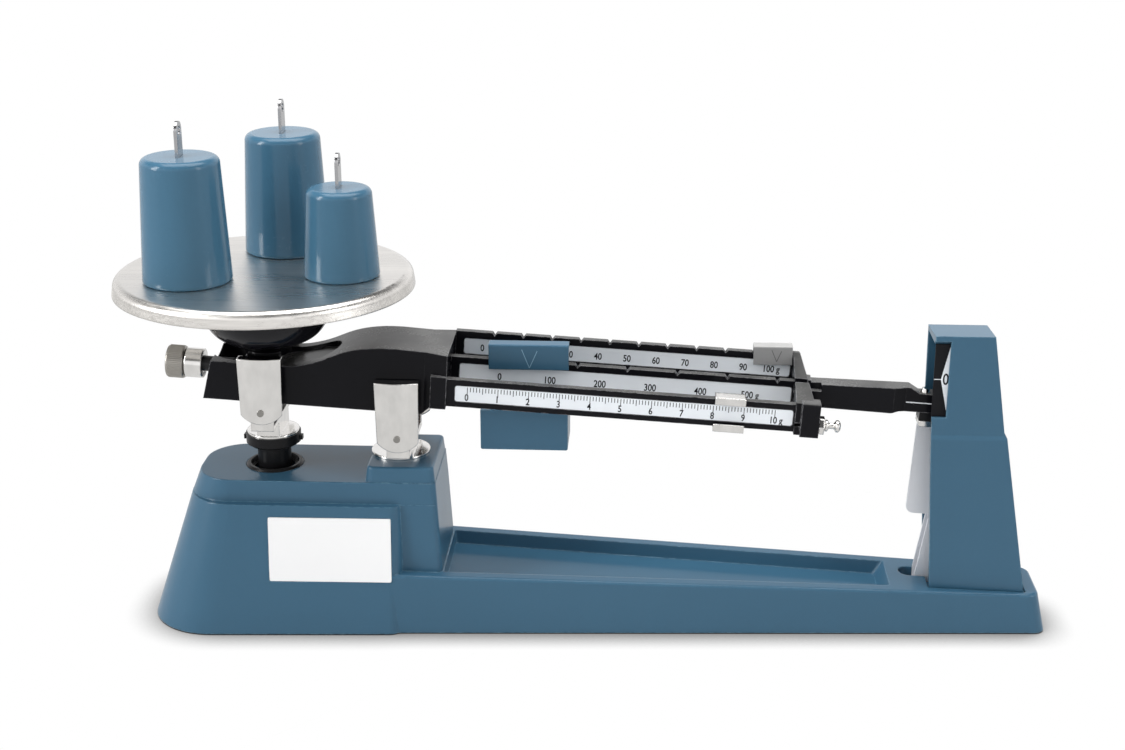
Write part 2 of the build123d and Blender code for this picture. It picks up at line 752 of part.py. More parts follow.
seat_z = pan_top - pan_sheet
with BuildPart() as pan_support:
    with BuildSketch(front(0)):
        with BuildLine():
            Polyline((pan_x, seat_z - 12), (pan_x, 142.4), (pan_x + 11.8, 142.4), (pan_x + 12.8, 145.2))
            Spline((pan_x + 12.8, 145.2), (pan_x + 20.5, 149.2), (pan_x + 27.0, 153.2), (pan_x + 31.5, 160.0),
                   (pan_x + 34.5, seat_z), tangents=((0.6, 1), (0.1, 1)))
            Polyline((pan_x + 34.5, seat_z), (pan_x + 31.5, seat_z), (pan_x + 29.5, seat_z - 12),
                     (pan_x, seat_z - 12))
        make_face()
    revolve(axis=Axis((pan_x, 0, 0), (0, 0, 1)))
    bar(Plane.XY.offset(142.4), pan_x, 0, cheek_wide, 2 * stirrup_half, yoke_top - 142.4)
save(pan_support, "pan_support")

with BuildPart() as collar_ring:
    ring_of([(3.5, 78.5), (8.7, 78.5), (8.7, 92.0), (12.6, 92.0), (14.2, 93.2), (14.2, 98.3), (13.56, 98.3),
             (13.56, yoke_disc_z), (3.5, yoke_disc_z)], pan_x)
    for side in (-1, 1):
        bar(Plane.XY.offset(94.0), pan_x + side * 14.3, 0, 2.2, 3.0, 2.4)
save(collar_ring, "collar_ring")

with BuildPart() as check_stem:
    disc(Plane.XY.offset(link_pan_z + 6.5), pan_x, 0, 3.4, yoke_disc_z + 2.4 - link_pan_z - 6.5)
    disc(front(1.5), pan_x, link_pan_z, 4.6, 3.0)
    bar(front(1.5), pan_x, link_pan_z + 4, 6.0, 7.0, 3.0)
    disc(front(5.2), pan_x, link_pan_z, 1.5, 10.4)
save(check_stem, "check_stem")

with BuildPart() as check_link:
    with BuildSketch(front(4.4)):
        with BuildLine():
            Polyline((pivot_x, link_base_z - 3), (pan_x, link_pan_z - 3), (pan_x, link_pan_z + 3),
                     (pivot_x, link_base_z + 3), close=True)
        make_face()
        with Locations((pivot_x, link_base_z), (pan_x, link_pan_z)):
            Circle(4.6)
    extrude(amount=2.5)
    disc(front(5.2), pivot_x, link_base_z, 4.6, 10.4)
    disc(front(6), pivot_x, link_base_z, 1.55, 12, Mode.SUBTRACT)
    disc(front(6), pan_x, link_pan_z, 1.9, 5, Mode.SUBTRACT)
save(check_link, "check_link")

with BuildPart() as link_pin:
    disc(front(9.6), pivot_x, link_base_z, 1.5, 19.2)
save(link_pin, "link_pin")

with BuildPart() as pan:
    with BuildSketch(front(0)):
        with BuildLine():
            edge = pan_x + pan_radius
            Polyline((pan_x, seat_z), (pan_x, pan_top), (edge - 4.6, pan_top))
            ThreePointArc((edge - 4.6, pan_top), (edge - 1.75, pan_top - 1.2), (edge - 0.6, pan_top - 4.0))
            Polyline((edge - 0.6, pan_top - 4.0), (edge, pan_top - pan_skirt),
                     (edge - pan_sheet, pan_top - pan_skirt), (edge - 0.6 - pan_sheet, pan_top - 4.2))
            ThreePointArc((edge - 0.6 - pan_sheet, pan_top - 4.2), (edge - 2.8, pan_top - 2.1),
                          (edge - 4.8, seat_z))
            Line((edge - 4.8, seat_z), (pan_x, seat_z))
        make_face()
    revolve(axis=Axis((pan_x, 0, 0), (0, 0, 1)))
    ring_of([(27.6, seat_z), (28.8, seat_z), (28.8, seat_z - 6), (27.6, seat_z - 6)], pan_x)
save(pan, "pan")

# ATTACHMENT WEIGHTS

large_weight = (22.1, 19.4, 62.3)
small_weight = (19.0, 16.4, 44.9)
tab_wide, tab_thick, tab_out, tab_in = 9.0, 1.6, 17.2, 9.0
tab_hole = 2.2
shoulder = 3.6


def weight_body(x, y, size):
    """Tapered weight, wider at its foot, with a slot for its hanger tab."""
    r_foot, r_top, tall = size
    with BuildSketch(Plane(origin=(x, y, 0), x_dir=(1, 0, 0), z_dir=(0, -1, 0))) as outline:
        with BuildLine():
            top = pan_top + tall
            Polyline((0, top), (0, pan_top), (r_foot - 1.4, pan_top))
            ThreePointArc((r_foot - 1.4, pan_top), (r_foot - 0.4, pan_top + 0.4), (r_foot, pan_top + 1.4))
            Line((r_foot, pan_top + 1.4), (r_top, top - shoulder))
            ThreePointArc((r_top, top - shoulder), (r_top - 0.3 * shoulder, top - 0.28 * shoulder),
                          (r_top - shoulder, top))
            Line((r_top - shoulder, top), (0, top))
        make_face()
    revolve(outline.sketch, axis=Axis((x, y, 0), (0, 0, 1)))
    bar(Plane.XY.offset(pan_top + tall - tab_in), x, y, tab_thick + 0.06, tab_wide + 0.06, 20, Mode.SUBTRACT)


def hanger(x, y, size):
    """Flat round-topped tab with a hole, set edge-on to the user."""
    top = pan_top + size[2] + tab_out
    with BuildSketch(end(x - tab_thick / 2)) as outline:
        with Locations((y, top - tab_wide / 2 - 11)):
            Rectangle(tab_wide, 22)
        with Locations((y, top - tab_wide / 2)):
            Circle(tab_wide / 2)
            Circle(tab_hole, mode=Mode.SUBTRACT)
        with Locations((y, top - 40)):
            Rectangle(20, 2 * (40 - tab_out - tab_in), mode=Mode.SUBTRACT)
    extrude(outline.sketch, amount=tab_thick)


weights = {
    "weight_large": (-204.8, -20.1, large_weight),
    "weight_rear": (-167.0, 41.9, large_weight),
    "weight_small": (-129.9, -7.0, small_weight),
}
for weight_name, (wx, wy, weight_size) in weights.items():
    with BuildPart() as weight:
        weight_body(wx, wy, weight_size)
    save(weight, weight_name)
    with BuildPart() as tab:
        hanger(wx, wy, weight_size)
    save(tab, weight_name + "_hanger")

# POISES

rear_poise_x = 88.2
rear_poise_wide = 20.0
poise_sheet = 1.4
run_gap = 0.35
rear_tooth_x = pivot_x + 194.6 * c + rear_top * s
rear_tooth_z = pivot_z - 194.6 * s + rear_top * c + run_gap
centre_poise_x = -36.8
centre_poise_wide = 40.8
centre_tooth_x = pivot_x + centre_notch * c + centre_top * s
centre_tooth_z = pivot_z - centre_notch * s + centre_top * c + run_gap
front_poise_at = 166.8


def tooth(x, y, z, top, half, deep):
    """Blunt tooth that runs a hair above a rail's top edge, parallel to it."""
    tip = 1.7
    fall = tip * s / c
    outline = [(x - half, top), (x - tip, z + fall), (x + tip, z - fall), (x + half, top)]
    shape(front(y + deep / 2), outline, deep)


with BuildPart() as rear_poise:
    bar(front(17.6), rear_poise_x, 138.3, rear_poise_wide, 9.8, poise_sheet)
    bar(front(23.8), rear_poise_x, 136.6, rear_poise_wide, 13.2, poise_sheet)
    bar(front(23.8), rear_poise_x, 142.2, rear_poise_wide, 2.0, 7.6)
    tooth(rear_tooth_x, rear_face + rail_thick / 2, rear_tooth_z, 141.6, 3.0, 5.0)
    fillet(edges().filter_by(Axis.X).group_by(Axis.Z)[-1], 0.6)
save(rear_poise, "rear_poise")

with BuildPart() as centre_poise:
    wide = centre_poise_wide
    back = 3.8
    back_left = centre_poise_x - wide / 2
    back_right = centre_tooth_x + 7.4
    back_wide = back_right - back_left
    # flap and bridge over the rail
    bar(front(flap_front), centre_poise_x, 142.1, wide, 13.2, flap_front - flap_back)
    bar(front(back), centre_poise_x, 147.6, wide, 2.2, back - flap_back)
    # back plate down to the hanging body
    bar(front(back), back_left + back_wide / 2, 130.0, back_wide, 37.4, 1.2)
    bar(front(6.0), back_left + back_wide / 2, 117.5, back_wide, 6.0, 3.4)
    bar(front(13.0), centre_poise_x - 1.9, 105.8, 44.6, 21.2, 26.0)
    tooth(centre_tooth_x, 0, centre_tooth_z, 146.8, 4.0, 5.4)
    fillet(edges().filter_by(Axis.X).group_by(Axis.Z)[-1], 0.8)
    fillet(edges().filter_by(Axis.Y).group_by(Axis.Z)[0], 1.0)
save(centre_poise, "centre_poise")

with BuildPart() as front_poise:
    with BuildSketch(beam_end(front_poise_at - 7.7)):
        with BuildLine():
            Polyline((-16.0, 14.8), (-24.3, 14.8), (-24.3, 11.0), (-23.4, 11.0), (-23.4, 13.9),
                     (-16.9, 13.9), (-16.9, -2.2), (-23.4, -2.2), (-23.4, 0.8), (-24.3, 0.8),
                     (-24.3, -3.1), (-16.0, -3.1), close=True)
        make_face()
    extrude(amount=15.4)
save(front_poise, "front_poise")

# TOWER

tower_outline = [(171.4, tower_foot_z), (167.2, 97.0), (166.5, 118.0), (165.9, 161.0), (195.0, 161.0),
                 (203.2, 109.5), (204.8, 106.5), (220.0, tower_foot_z)]
tower_inside = [(150, 10), (150, 155.2), (193.0, 155.2), (200.9, 109.0), (202.4, 106.0), (217.8, 10)]

with BuildPart() as tower_cover:
    with BuildSketch(front(20)):
        Polygon(*tower_outline, align=None)
    extrude(amount=40)
    with BuildSketch(end(150)):
        Polygon((-tower_half_foot, tower_foot_z), (-tower_half_foot + 0.3, 105.5), (-tower_half_top, 107.5),
                (-tower_half_top + 0.3, 159.6), (tower_half_top - 0.3, 157.6), (tower_half_top, 107.5),
                (tower_half_foot - 0.3, 105.5), (tower_half_foot, tower_foot_z), align=None)
    extrude(amount=100, mode=Mode.INTERSECT)
    with BuildSketch(front(11.9)):
        Polygon(*tower_inside, align=None)
    extrude(amount=23.8, mode=Mode.SUBTRACT)
    with BuildSketch(front(-11.0)):
        with Locations((160, 136.85)):
            Rectangle(27.2, 39.9)
    extrude(amount=10, mode=Mode.SUBTRACT)
    for spot_x, spot_y in tower_screw_spots:
        disc(Plane.XY.offset(tower_foot_z), spot_x, spot_y, 3.8, 24)
        disc(Plane.XY.offset(10), spot_x, spot_y, 1.4, 28, Mode.SUBTRACT)
save(tower_cover, "tower_cover")

with BuildPart() as tower_screws:
    for spot_x, spot_y in tower_screw_spots:
        disc(Plane.XY.offset(14.6), spot_x, spot_y, 3.0, 2.4)
        disc(Plane.XY.offset(17.0), spot_x, spot_y, 1.35, 18)
save(tower_screws, "tower_screws")

with BuildPart() as index_plate:
    with BuildSketch(front(-10.9)):
        with Locations((172.2, 134.6)):
            Rectangle(11.6, 41.0)
    extrude(amount=1.0)
save(index_plate, "index_plate")

bracket_sides = [(170.5, 56), (165.5, 25), (165.5, 15.8), (194.2, 15.8), (194.2, 90), (176, 90), (176, 56)]
with BuildPart() as magnet_bracket:
    shape(front(vane_y - 4.0), bracket_sides, 1.0)
    shape(front(vane_y + 5.0), bracket_sides, 1.0)
    bar(end(193.0), vane_y, 58.0, 10.0, 64.0, 1.2)
    bar(Plane.XY.offset(15.8), 180, vane_y, 28, 20, 1.2)
save(magnet_bracket, "magnet_bracket")

with BuildPart() as damper_magnets:
    for near in (vane_y - 2.4, vane_y + 4.0):
        bar(front(near), 184.5, 77, 13, 22, 1.6)
save(damper_magnets, "damper_magnets")
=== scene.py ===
import bpy
import math
from mathutils import Matrix, Vector
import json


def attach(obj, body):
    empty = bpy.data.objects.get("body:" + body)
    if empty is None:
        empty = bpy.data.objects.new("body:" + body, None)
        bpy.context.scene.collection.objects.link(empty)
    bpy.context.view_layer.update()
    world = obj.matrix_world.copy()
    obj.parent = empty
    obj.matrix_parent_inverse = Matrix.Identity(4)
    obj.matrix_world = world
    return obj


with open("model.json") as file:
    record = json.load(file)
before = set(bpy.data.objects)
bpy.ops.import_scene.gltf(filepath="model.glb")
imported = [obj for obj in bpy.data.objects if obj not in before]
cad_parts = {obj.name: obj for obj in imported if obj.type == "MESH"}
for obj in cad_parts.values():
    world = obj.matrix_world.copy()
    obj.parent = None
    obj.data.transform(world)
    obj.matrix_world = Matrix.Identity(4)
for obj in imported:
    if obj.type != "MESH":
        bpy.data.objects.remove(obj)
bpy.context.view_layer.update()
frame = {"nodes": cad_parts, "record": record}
nodes = frame["nodes"]

# Everything is in metres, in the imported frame. MM turns the drawing's millimetres into metres.
MM = 0.001
SHIFT = 7.38
TILT = math.radians(3.4)
COS, SIN = math.cos(TILT), math.sin(TILT)
PIVOT = (-102.0, 124.0)

# Faces that carry print or pressed marks, in the drawing's millimetres
PLATE_INSET = 0.1        # the scale plates stand this far inside their rails' faces
INDEX_FACE_Y = -11.9
TIP_FACE_Y = -3.4
CENTRE_FLAP_Y = -4.4
REAR_FLAP_Y = 16.2
CAP_HEIGHT = 0.69        # of the font's size
STROKE_GAIN = 0.10       # numerals are printed this much bolder all round


def beam_point(along, y, up):
    """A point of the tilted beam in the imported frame."""
    x = PIVOT[0] + along * COS + up * SIN + SHIFT
    z = PIVOT[1] - along * SIN + up * COS
    return Vector((x * MM, y * MM, z * MM))


def beam_matrix(along, y, up):
    """Local x runs along the beam, local y up it, local z towards the user."""
    m = Matrix(((COS, SIN, 0, 0), (0, 0, -1, 0), (-SIN, COS, 0, 0), (0, 0, 0, 1)))
    m.translation = beam_point(along, y, up)
    return m


def front_matrix(x, y, z):
    """Local x runs along X, local y up, local z towards the user."""
    m = Matrix(((1, 0, 0, 0), (0, 0, -1, 0), (0, 1, 0, 0), (0, 0, 0, 1)))
    m.translation = Vector(((x + SHIFT) * MM, y * MM, z * MM))
    return m


# SHARED SHADER EFFECTS


def new_group(name, inputs, outputs):
    """A shader node group with named sockets."""
    tree = bpy.data.node_groups.new(name, "ShaderNodeTree")
    for title, kind, value in inputs:
        made = tree.interface.new_socket(name=title, in_out="INPUT", socket_type="NodeSocket" + kind)
        if value is not None:
            made.default_value = value
    for title, kind in outputs:
        tree.interface.new_socket(name=title, in_out="OUTPUT", socket_type="NodeSocket" + kind)
    return tree, tree.nodes.new("NodeGroupInput"), tree.nodes.new("NodeGroupOutput")


def math_node(tree, operation, first, second=None, clamp=False):
    """One Math node; numbers are set on its sockets and outputs are linked."""
    n = tree.nodes.new("ShaderNodeMath")
    n.operation = operation
    n.use_clamp = clamp
    for i, v in enumerate((first, second)):
        if v is None:
            continue
        if isinstance(v, (int, float)):
            n.inputs[i].default_value = v
        else:
            tree.links.new(v, n.inputs[i])
    return n.outputs[0]


def make_grain():
    """Uneven colour, gloss and height at two sizes."""
    tree, gin, gout = new_group(
        "fine_grain",
        [("Colour", "Color", (0.5, 0.5, 0.5, 1)), ("Roughness", "Float", 0.5), ("Scale", "Float", 600.0),
         ("Stretch", "Vector", (1.0, 1.0, 1.0)), ("Colour vary", "Float", 0.05),
         ("Rough vary", "Float", 0.05), ("Bump", "Float", 0.1), ("Depth", "Float", 0.0001),
         ("Normal", "Vector", (0.0, 0.0, 0.0))],
        [("Colour", "Color"), ("Roughness", "Float"), ("Normal", "Vector"), ("Height", "Float")])
    coord = tree.nodes.new("ShaderNodeTexCoord")
    stretch = tree.nodes.new("ShaderNodeVectorMath")
    stretch.operation = "MULTIPLY"
    tree.links.new(coord.outputs["Object"], stretch.inputs[0])
    tree.links.new(gin.outputs["Stretch"], stretch.inputs[1])
    fine = tree.nodes.new("ShaderNodeTexNoise")
    fine.inputs["Detail"].default_value = 5
    tree.links.new(stretch.outputs[0], fine.inputs["Vector"])
    tree.links.new(gin.outputs["Scale"], fine.inputs["Scale"])
    broad = tree.nodes.new("ShaderNodeTexNoise")
    broad.inputs["Detail"].default_value = 3
    tree.links.new(stretch.outputs[0], broad.inputs["Vector"])
    tree.links.new(math_node(tree, "MULTIPLY", gin.outputs["Scale"], 0.06), broad.inputs["Scale"])
    both = math_node(tree, "ADD", fine.outputs[0], broad.outputs[0])
    signed = math_node(tree, "SUBTRACT", both, 1.0)
    value = math_node(tree, "ADD", math_node(tree, "MULTIPLY", signed, gin.outputs["Colour vary"]), 1.0)
    hsv = tree.nodes.new("ShaderNodeHueSaturation")
    tree.links.new(gin.outputs["Colour"], hsv.inputs["Color"])
    tree.links.new(value, hsv.inputs["Value"])
    rough = math_node(tree, "ADD", math_node(tree, "MULTIPLY", signed, gin.outputs["Rough vary"]),
                      gin.outputs["Roughness"], clamp=True)
    bump = tree.nodes.new("ShaderNodeBump")
    tree.links.new(fine.outputs[0], bump.inputs["Height"])
    tree.links.new(gin.outputs["Bump"], bump.inputs["Strength"])
    tree.links.new(gin.outputs["Depth"], bump.inputs["Distance"])
    tree.links.new(gin.outputs["Normal"], bump.inputs["Normal"])
    tree.links.new(hsv.outputs[0], gout.inputs["Colour"])
    tree.links.new(rough, gout.inputs["Roughness"])
    tree.links.new(bump.outputs[0], gout.inputs["Normal"])
    tree.links.new(fine.outputs[0], gout.inputs["Height"])
    return tree


def make_soft_edges():
    """Rounded-looking edges, and a broken edge mask: where paint or plating wears on them, and where the
    blue enamels get a painted highlight along their edges.
    """
    tree, gin, gout = new_group(
        "soft_edges", [("Radius", "Float", 0.0005), ("Wear and highlight", "Float", 0.0)],
        [("Normal", "Vector"), ("Edge", "Float")])
    bevel = tree.nodes.new("ShaderNodeBevel")
    bevel.samples = 6
    tree.links.new(gin.outputs["Radius"], bevel.inputs["Radius"])
    geo = tree.nodes.new("ShaderNodeNewGeometry")
    dot = tree.nodes.new("ShaderNodeVectorMath")
    dot.operation = "DOT_PRODUCT"
    tree.links.new(bevel.outputs[0], dot.inputs[0])
    tree.links.new(geo.outputs["True Normal"], dot.inputs[1])
    turned = math_node(tree, "SUBTRACT", 1.0, dot.outputs["Value"])
    coord = tree.nodes.new("ShaderNodeTexCoord")
    noise = tree.nodes.new("ShaderNodeTexNoise")
    noise.inputs["Scale"].default_value = 260
    noise.inputs["Detail"].default_value = 6
    tree.links.new(coord.outputs["Object"], noise.inputs["Vector"])
    broken = math_node(tree, "MULTIPLY", turned, math_node(tree, "SUBTRACT", noise.outputs[0], 0.35))
    edge = math_node(tree, "MULTIPLY", broken, gin.outputs["Wear and highlight"], clamp=True)
    tree.links.new(bevel.outputs[0], gout.inputs["Normal"])
    tree.links.new(edge, gout.inputs["Edge"])
    return tree


def make_dust():
    """A thin uneven film on the faces that look up: settled dust, and a painted sheen that lightens the
    upward faces of the black and the grey enamel.
    """
    tree, gin, gout = new_group(
        "settled_dust_and_top_sheen",
        [("Colour", "Color", (0.5, 0.5, 0.5, 1)), ("Roughness", "Float", 0.4), ("Amount", "Float", 0.1),
         ("Dust and sheen colour", "Color", (0.62, 0.62, 0.6, 1))],
        [("Colour", "Color"), ("Roughness", "Float")])
    geo = tree.nodes.new("ShaderNodeNewGeometry")
    split = tree.nodes.new("ShaderNodeSeparateXYZ")
    tree.links.new(geo.outputs["Normal"], split.inputs[0])
    up = math_node(tree, "POWER", math_node(tree, "MAXIMUM", split.outputs[2], 0.0), 3.0)
    coord = tree.nodes.new("ShaderNodeTexCoord")
    noise = tree.nodes.new("ShaderNodeTexNoise")
    noise.inputs["Scale"].default_value = 45
    noise.inputs["Detail"].default_value = 8
    tree.links.new(coord.outputs["Object"], noise.inputs["Vector"])
    mask = math_node(tree, "MULTIPLY", math_node(tree, "MULTIPLY", up, noise.outputs[0]),
                     gin.outputs["Amount"], clamp=True)
    mix = tree.nodes.new("ShaderNodeMix")
    mix.data_type = "RGBA"
    tree.links.new(mask, mix.inputs["Factor"])
    tree.links.new(gin.outputs["Colour"], mix.inputs[6])
    tree.links.new(gin.outputs["Dust and sheen colour"], mix.inputs[7])
    duller = math_node(tree, "MULTIPLY", mask, 0.3)
    rough = math_node(tree, "ADD", gin.outputs["Roughness"], duller, clamp=True)
    tree.links.new(mix.outputs[2], gout.inputs["Colour"])
    tree.links.new(rough, gout.inputs["Roughness"])
    return tree


grain_tree = make_grain()
edge_tree = make_soft_edges()
dust_and_sheen_tree = make_dust()


def use_group(tree, group, values):
    """An instance of a shared effect with its own settings."""
    n = tree.nodes.new("ShaderNodeGroup")
    n.node_tree = group
    for title, value in values.items():
        n.inputs[title].default_value = value
    return n


def material(name, colour, metallic=0.0, roughness=0.4, scale=900.0, stretch=(1, 1, 1), colour_vary=0.05,
             rough_vary=0.06, bump=0.12, depth=0.00008, radius=0.0005, wear_and_highlight=0.0, worn_and_highlight_colour=(0.5, 0.5, 0.5),
             dust_and_sheen=0.03, coat=0.0, coat_rough=0.08, anisotropic=0.0, tangent=None, specular=0.5):
    """A finish of the shared effects, with its own settings on the shader."""
    mat = bpy.data.materials.new(name)
    mat.use_nodes = True
    tree = mat.node_tree
    shader = tree.nodes["Principled BSDF"]
    edges = use_group(tree, edge_tree, {"Radius": radius, "Wear and highlight": wear_and_highlight})
    grain = use_group(tree, grain_tree, {
        "Colour": (*colour, 1), "Roughness": roughness, "Scale": scale, "Stretch": stretch,
        "Colour vary": colour_vary, "Rough vary": rough_vary, "Bump": bump, "Depth": depth})
    dust_and_sheen_film = use_group(tree, dust_and_sheen_tree, {"Amount": dust_and_sheen})
    tree.links.new(edges.outputs["Normal"], grain.inputs["Normal"])
    tree.links.new(grain.outputs["Colour"], dust_and_sheen_film.inputs["Colour"])
    tree.links.new(grain.outputs["Roughness"], dust_and_sheen_film.inputs["Roughness"])
    mix = tree.nodes.new("ShaderNodeMix")
    mix.data_type = "RGBA"
    tree.links.new(edges.outputs["Edge"], mix.inputs["Factor"])
    tree.links.new(dust_and_sheen_film.outputs["Colour"], mix.inputs[6])
    mix.inputs[7].default_value = (*worn_and_highlight_colour, 1)
    tree.links.new(mix.outputs[2], shader.inputs["Base Color"])
    tree.links.new(dust_and_sheen_film.outputs["Roughness"], shader.inputs["Roughness"])
    tree.links.new(grain.outputs["Normal"], shader.inputs["Normal"])
    shader.inputs["Metallic"].default_value = metallic
    shader.inputs["Specular IOR Level"].default_value = specular
    shader.inputs["Coat Weight"].default_value = coat
    shader.inputs["Coat Roughness"].default_value = coat_rough
    if coat:
        tree.links.new(edges.outputs["Normal"], shader.inputs["Coat Normal"])
    if anisotropic:
        shader.inputs["Anisotropic"].default_value = anisotropic
        along = tree.nodes.new("ShaderNodeCombineXYZ")
        for i in range(3):
            along.inputs[i].default_value = tangent[i]
        tree.links.new(along.outputs[0], shader.inputs["Tangent"])
    return mat


BLUE = (0.044, 0.126, 0.204)
WEIGHT_BLUE = (0.054, 0.147, 0.232)
# Lighter blue that the edge mask lays on the blue enamels' edges: a painted highlight, not wear.
PAINTED_EDGE_HIGHLIGHT_BLUE = (0.22, 0.42, 0.55)
mats = {
    # Both blue enamels get lighter edges from the edge mask: a painted highlight along their edges.
    "blue_paint": material("blue_enamel", BLUE, roughness=0.30, scale=700, bump=0.10, radius=0.0011,
                           wear_and_highlight=7.0, worn_and_highlight_colour=PAINTED_EDGE_HIGHLIGHT_BLUE, coat=0.22, coat_rough=0.12, specular=0.25,
                           dust_and_sheen=0.0),
    "blue_gloss": material("blue_gloss_enamel", WEIGHT_BLUE, roughness=0.26, scale=420, bump=0.08,
                           radius=0.0012, wear_and_highlight=4.0, worn_and_highlight_colour=PAINTED_EDGE_HIGHLIGHT_BLUE, coat=0.42, coat_rough=0.05,
                           specular=0.15, dust_and_sheen=0.0),
    # On the black enamel the film mostly paints a sheen: its upward faces are lightened for the gloss on
    # the housing's top.
    "black_paint": material("black_enamel", (0.006, 0.006, 0.008), roughness=0.22, scale=900, bump=0.10,
                            radius=0.0007, wear_and_highlight=13.0, worn_and_highlight_colour=(0.40, 0.40, 0.42), dust_and_sheen=0.30,
                            specular=0.14),
    "black_gloss": material("black_gloss_enamel", (0.005, 0.005, 0.007), roughness=0.12, scale=300,
                            bump=0.04, radius=0.0008, dust_and_sheen=0.05, specular=0.3),
    "black_plastic": material("black_moulding", (0.008, 0.008, 0.009), roughness=0.30, scale=1500,
                              bump=0.2, radius=0.0005, wear_and_highlight=6.0, worn_and_highlight_colour=(0.16, 0.16, 0.17), specular=0.2),
    "index_black": material("index_face_black", (0.008, 0.008, 0.010), roughness=0.6, bump=0.08,
                            dust_and_sheen=0.0, specular=0.15),
    "scale_plate": material("scale_face", (0.86, 0.90, 0.94), roughness=0.50, scale=1300, bump=0.04,
                            colour_vary=0.015, radius=0.0002, dust_and_sheen=0.0),
    "white_card": material("card_face", (0.97, 0.97, 0.97), roughness=0.55, scale=1600, bump=0.05,
                           colour_vary=0.01, radius=0.0002, dust_and_sheen=0.0),
    "rubber": material("rubber_moulding", (0.012, 0.012, 0.012), roughness=0.6, scale=2500, bump=0.3),
    "pan_steel": material("brushed_pan", (0.76, 0.735, 0.70), metallic=0.96, roughness=0.27, scale=760,
                          stretch=(0.035, 1, 1), colour_vary=0.42, rough_vary=0.16, bump=0.35,
                          depth=0.00006, radius=0.0009, anisotropic=0.8, tangent=(1, 0, 0), dust_and_sheen=0.22),
    "nickel": material("nickel_plate", (0.86, 0.845, 0.82), metallic=1.0, roughness=0.15, scale=150,
                       stretch=(1, 1, 0.6), colour_vary=0.34, rough_vary=0.22, bump=0.12, radius=0.0011,
                       dust_and_sheen=0.0),
    "nickel_satin": material("nickel_satin", (0.44, 0.42, 0.385), metallic=1.0, roughness=0.36,
                             scale=1400, bump=0.15, radius=0.0005, wear_and_highlight=3.0, worn_and_highlight_colour=(0.8, 0.78, 0.74)),
    "steel": material("bright_steel", (0.52, 0.52, 0.53), metallic=1.0, roughness=0.22, scale=1200,
                      stretch=(1, 1, 0.1), bump=0.12, radius=0.0004, dust_and_sheen=0.0),
    "slotted_screw": material("slotted_screw", (0.34, 0.33, 0.31), metallic=1.0, roughness=0.30,
                              scale=900, radius=0.0003),
    "black_oxide": material("black_oxide_thread", (0.030, 0.030, 0.032), metallic=0.6, roughness=0.34,
                            scale=1200, bump=0.2, wear_and_highlight=3.0, worn_and_highlight_colour=(0.4, 0.4, 0.4), radius=0.0003),
    "aluminium": material("sheet_aluminium", (0.88, 0.895, 0.93), metallic=0.25, roughness=0.40,
                          scale=1500, stretch=(1, 1, 0.05), bump=0.10, radius=0.0005, dust_and_sheen=0.0),
    "bearing_stone": material("bearing_stone", (0.30, 0.10, 0.08), roughness=0.12, scale=160,
                              colour_vary=0.5, bump=0.02),
    "magnet": material("ground_magnet", (0.08, 0.08, 0.085), metallic=0.3, roughness=0.55, scale=1800,
                       bump=0.25),
    # On the grey enamel the film is strong: its upward faces are lightened, a painted highlight on the
    # poise's top together with dust.
    "grey_metal": material("grey_enamel", (0.33, 0.33, 0.33), roughness=0.38, scale=1100, bump=0.14,
                           radius=0.0005, wear_and_highlight=5.0, worn_and_highlight_colour=(0.8, 0.8, 0.79), dust_and_sheen=0.9),
}
print_dark = material("print_dark", (0.010, 0.010, 0.014), roughness=0.5, bump=0.02, radius=0.00002,
                      dust_and_sheen=0.0, specular=0.15)
print_white = material("print_white", (0.86, 0.89, 0.92), roughness=0.5, bump=0.02, radius=0.00002,
                       dust_and_sheen=0.0)
mark_pale = material("mark_pale", (0.22, 0.40, 0.54), roughness=0.45, bump=0.05, radius=0.00005,
                     dust_and_sheen=0.0)
mark_dark = material("mark_dark", (0.13, 0.13, 0.13), roughness=0.5, bump=0.05, radius=0.00005,
                     dust_and_sheen=0.0)

slot_of = {s["node"]: s["material_slot"] for s in frame["record"]["subparts"]}
# Pieces whose look differs from the finish of their slot
finish_of = {"weight_large": "blue_gloss", "weight_rear": "blue_gloss", "weight_small": "blue_gloss",
             "zero_knob": "nickel_satin", "fulcrum_cover_screws": "slotted_screw",
             "pan_cover_screws": "slotted_screw", "magnet_bracket": "aluminium",
             "weight_large_hanger": "steel", "weight_rear_hanger": "steel",
             "weight_small_hanger": "steel"}
for name, node in nodes.items():
    node.data.materials.clear()
    node.data.materials.append(mats[finish_of.get(name, slot_of[name])])

# PRINTED AND PRESSED MARKS


def finished(name, mesh, mat, body):
    """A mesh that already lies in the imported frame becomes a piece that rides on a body."""
    mesh.materials.clear()
    mesh.materials.append(mat)
    obj = bpy.data.objects.new(name, mesh)
    bpy.context.scene.collection.objects.link(obj)
    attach(obj, body)
    return obj


def collect(name, parts, mat, body):
    """Several (vertices, faces) lists as one piece."""
    verts, faces = [], []
    for v, f in parts:
        first = len(verts)
        verts += v
        faces += [[first + i for i in one] for one in f]
    mesh = bpy.data.meshes.new(name)
    mesh.from_pydata([tuple(v) for v in verts], [], faces)
    mesh.update()
    return finished(name, mesh, mat, body)


def plate_prism(points, matrix, thick):
    """Prism of a flat outline given in millimetres, anticlockwise, standing thick proud of its face."""
    n = len(points)
    low = [matrix @ Vector((x * MM, y * MM, 0)) for x, y in points]
    high = [matrix @ Vector((x * MM, y * MM, thick * MM)) for x, y in points]
    faces = [list(range(n - 1, -1, -1)), list(range(n, 2 * n))]
    faces += [[i, (i + 1) % n, n + (i + 1) % n, n + i] for i in range(n)]
    return low + high, faces


